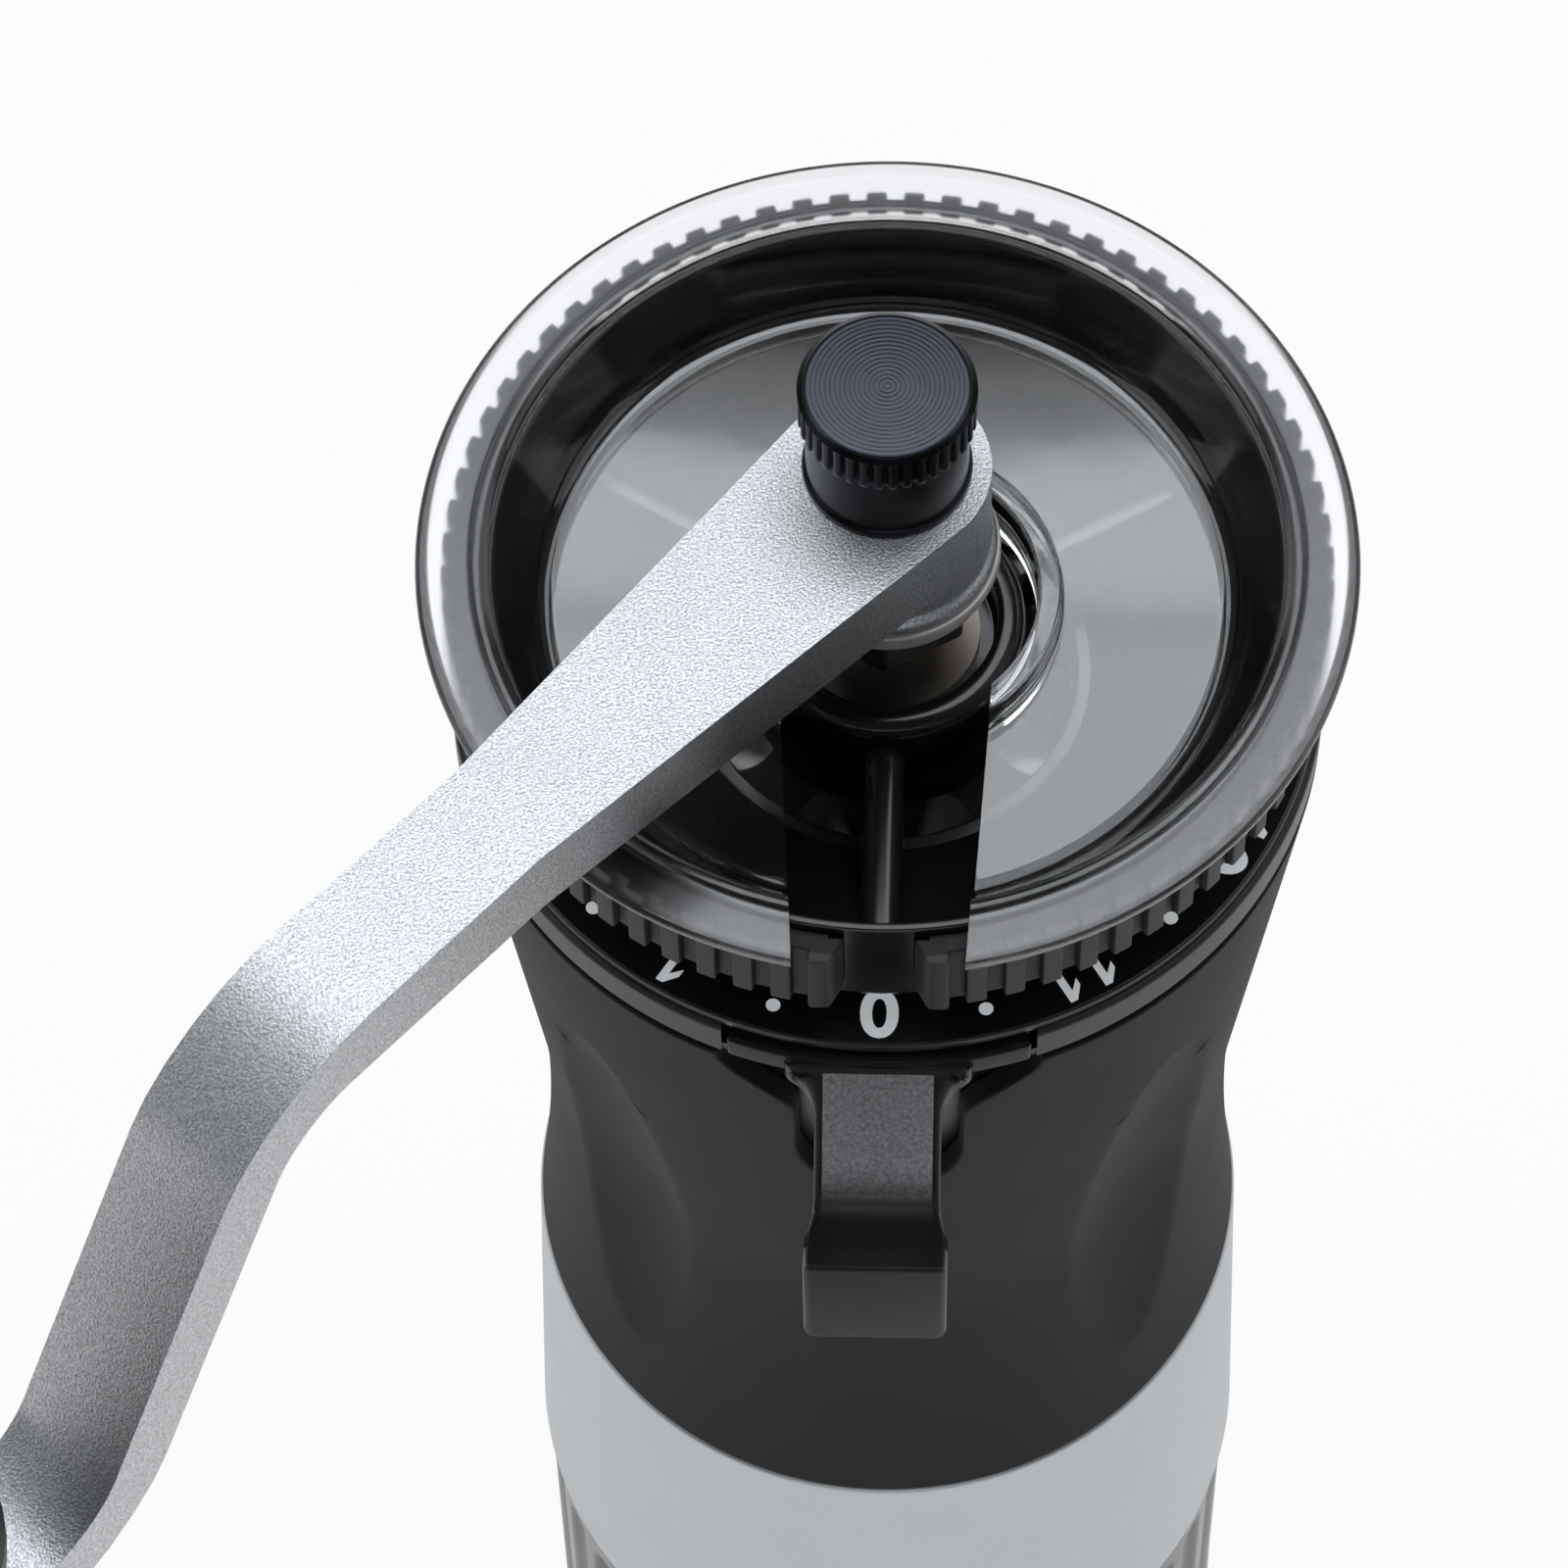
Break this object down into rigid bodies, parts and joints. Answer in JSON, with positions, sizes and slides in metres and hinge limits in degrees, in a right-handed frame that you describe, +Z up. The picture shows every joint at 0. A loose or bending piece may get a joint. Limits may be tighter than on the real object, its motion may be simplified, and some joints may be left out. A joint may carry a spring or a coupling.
{
  "type": "hand crank coffee grinder",
  "caption": "Tall hand coffee grinder with a stepped crank, clear slotted lid, ribbed setting ring over a numbered dial, finger lever, rubber grip and twist-off jar.",
  "frame": {"origin": "centre of the foot pad's underside, on the grinder's axis", "axes": "+Z up along the grinder's axis, the lever and the dial's zero towards -Y"},
  "size_m": [0.1331, 0.1408, 0.24],
  "materials": {
    "shell_black": "fine moulded texture",
    "grip_rubber": "matte soft rubber",
    "collar_silver": "fine bead-blasted satin",
    "dial_black": "fine spark-eroded texture",
    "trim_grey": "satin",
    "hopper_black": "semi-gloss moulded",
    "ring_black": "fine moulded texture",
    "lid_clear": "polished clear",
    "crank_aluminium": "coarse bead-blasted satin",
    "thumb_black": "black anodised, turned",
    "washer_steel": "plain",
    "nut_dark": "black oxide",
    "pin_steel": "turned",
    "burr_steel": "hardened, ground",
    "bush_brass": "sintered",
    "carrier_metal": "machined",
    "lever_black": "gloss with a textured panel",
    "knob_black": "satin moulded",
    "jar_dark": "satin moulded",
    "seal_rubber": "matte"
  },
  "bodies": {
    "body": {"body_shell": "shell_black", "grip_sleeve": "grip_rubber", "silver_collar": "collar_silver", "scale_ring": "dial_black", "trim_ring": "trim_grey", "lower_bridge": "carrier_metal", "lower_bush": "bush_brass", "lever_pin": "pin_steel", "lever_spring": "pin_steel"},
    "hopper": {"hopper": "hopper_black", "adjusting_ring": "ring_black", "upper_bush": "nut_dark", "detent_ring": "carrier_metal"},
    "burr_carrier": {"burr_carrier": "carrier_metal", "outer_burr": "burr_steel", "burr_screws": "pin_steel"},
    "lid": {"lid": "lid_clear"},
    "crank": {"crank_arm": "crank_aluminium", "thumb_nut": "thumb_black", "upper_washer": "washer_steel", "lower_washer": "washer_steel", "hex_nut": "nut_dark", "drive_shaft": "pin_steel", "inner_burr": "burr_steel", "burr_washer": "washer_steel", "burr_nut": "pin_steel", "knob_pin": "pin_steel"},
    "knob": {"crank_knob": "knob_black", "knob_cap": "knob_black"},
    "lever": {"release_lever": "lever_black"},
    "jar": {"jar": "jar_dark", "jar_seal": "seal_rubber", "base_foot": "seal_rubber"}
  },
  "joints": [
    {"name": "grind_adjust", "type": "hinge", "parent": "body", "child": "hopper", "pos_m": [0, 0, 0.2], "axis": [0, 0, 1], "range_deg": [-330, 0]},
    {"name": "burr_shift", "type": "slide", "parent": "body", "child": "burr_carrier", "axis": [0, 0, 1], "range_m": [0, 0.00138]},
    {"name": "crank_turn", "type": "hinge", "parent": "body", "child": "crank", "pos_m": [0, 0, 0.2], "axis": [0, 0, 1], "continuous": true},
    {"name": "knob_spin", "type": "hinge", "parent": "crank", "child": "knob", "pos_m": [-0.08092, -0.08861, 0.19], "axis": [0, 0, 1], "continuous": true},
    {"name": "lid_turn", "type": "hinge", "parent": "hopper", "child": "lid", "pos_m": [0, 0, 0.21], "axis": [0, 0, 1], "continuous": true},
    {"name": "lever_press", "type": "hinge", "parent": "body", "child": "lever", "pos_m": [0, -0.0334, 0.191], "axis": [1, 0, 0], "range_deg": [0, 5], "stiffness_Nm_per_rad": 0.6, "springref_deg": -2.86},
    {"name": "jar_twist", "type": "hinge", "parent": "body", "child": "jar", "pos_m": [0, 0, 0.05], "axis": [0, 0, 1], "range_deg": [0, 45]}
  ],
  "couplings": [
    {"joint": "grind_adjust", "follows": "burr_shift", "rad_per_m": -4166.7}
  ]
}
